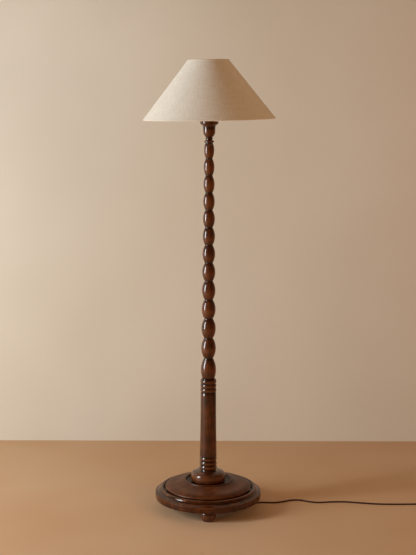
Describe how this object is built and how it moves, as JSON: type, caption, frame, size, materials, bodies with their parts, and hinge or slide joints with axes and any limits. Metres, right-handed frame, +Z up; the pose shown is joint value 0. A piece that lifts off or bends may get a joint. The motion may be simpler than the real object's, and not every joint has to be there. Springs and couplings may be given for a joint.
{
  "type": "candlestick floor lamp",
  "caption": "Turned wooden standard lamp: beaded column on a round stepped base with bun feet, brass lampholder, cone linen shade on a wire carrier, and a free mains cord.",
  "frame": {"origin": "on the floor, under the middle of the round base", "axes": "+Z up along the column, -Y towards the viewer of the picture, +X to the right, where the cord leaves"},
  "size_m": [1.1394, 0.4526, 1.5703],
  "materials": {
    "polished_wood": "dark-stained hardwood under a rubbed, worn polish",
    "steel": "zinc-plated steel",
    "brass": "satin brass, slightly dulled",
    "ceramic": "glazed steatite",
    "core_wire": "insulated copper cores",
    "black_plastic": "moulded phenolic and nylon",
    "brown_plastic": "moulded brown PVC",
    "linen": "natural linen on a stiff lining",
    "opal_glass": "inside-frosted glass",
    "clear_glass": "clear glass",
    "filament": "phosphor-coated filament sticks",
    "cord_cover": "dark brown round flex",
    "nickel": "nickel-plated brass"
  },
  "bodies": {
    "stand": {"plinth": "polished_wood", "dish": "polished_wood", "boss": "polished_wood", "front_foot": "polished_wood", "left_foot": "polished_wood", "right_foot": "polished_wood", "plinth_screws": "steel", "lower_column": "polished_wood", "upper_column": "polished_wood", "candle_cup": "polished_wood", "tie_tube": "steel", "base_washer": "steel", "base_nut": "steel", "cup_plate": "brass", "cup_plate_screws": "brass", "top_nut": "brass", "holder_cap": "brass", "holder_shell": "brass", "holder_insulator": "ceramic", "holder_thread": "brass", "holder_contact": "brass", "holder_cores": "core_wire", "inner_cord": "cord_cover", "cord_clamp_base": "black_plastic", "cord_clamp_bar": "black_plastic", "cord_clamp_screws": "steel", "strain_relief": "brown_plastic", "cord": "cord_cover", "cord_coil": "cord_cover", "coil_tie": "black_plastic", "plug_body": "brown_plastic", "plug_pins": "nickel"},
    "switch": {"switch_bar": "black_plastic"},
    "clamp_ring": {"shade_clamp_ring": "black_plastic"},
    "carrier": {"carrier_plate": "brass", "carrier_arm_back": "brass", "carrier_arm_left": "brass", "carrier_arm_right": "brass", "carrier_ring": "brass"},
    "shade": {"shade_cover": "linen", "shade_fitter": "steel", "shade_spokes": "steel", "shade_top_wire": "steel", "shade_bottom_wire": "steel", "shade_top_binding": "linen", "shade_bottom_binding": "linen"},
    "bulb": {"bulb_cap": "steel", "bulb_insulator": "black_plastic", "bulb_tip": "steel", "bulb_glass": "opal_glass", "bulb_stem": "clear_glass", "bulb_filaments": "filament"}
  },
  "joints": [
    {"name": "switch_push", "type": "slide", "parent": "stand", "child": "switch", "axis": [0.9998, 0, 0.0192], "range_m": [0, 0.006]},
    {"name": "clamp_ring_turn", "type": "hinge", "parent": "stand", "child": "clamp_ring", "pos_m": [0, 0, 1.36213], "axis": [-0.0192, 0, 0.9998], "continuous": true},
    {"name": "shade_swivel", "type": "hinge", "parent": "stand", "child": "carrier", "pos_m": [0, 0, 1.36213], "axis": [-0.0192, 0, 0.9998], "continuous": true},
    {"name": "shade_lift", "type": "slide", "parent": "carrier", "child": "shade", "axis": [-0.0192, 0, 0.9998], "range_m": [0, 0.15]},
    {"name": "bulb_turn", "type": "hinge", "parent": "stand", "child": "bulb", "pos_m": [0, 0, 1.36213], "axis": [-0.0192, 0, 0.9998], "continuous": true}
  ]
}
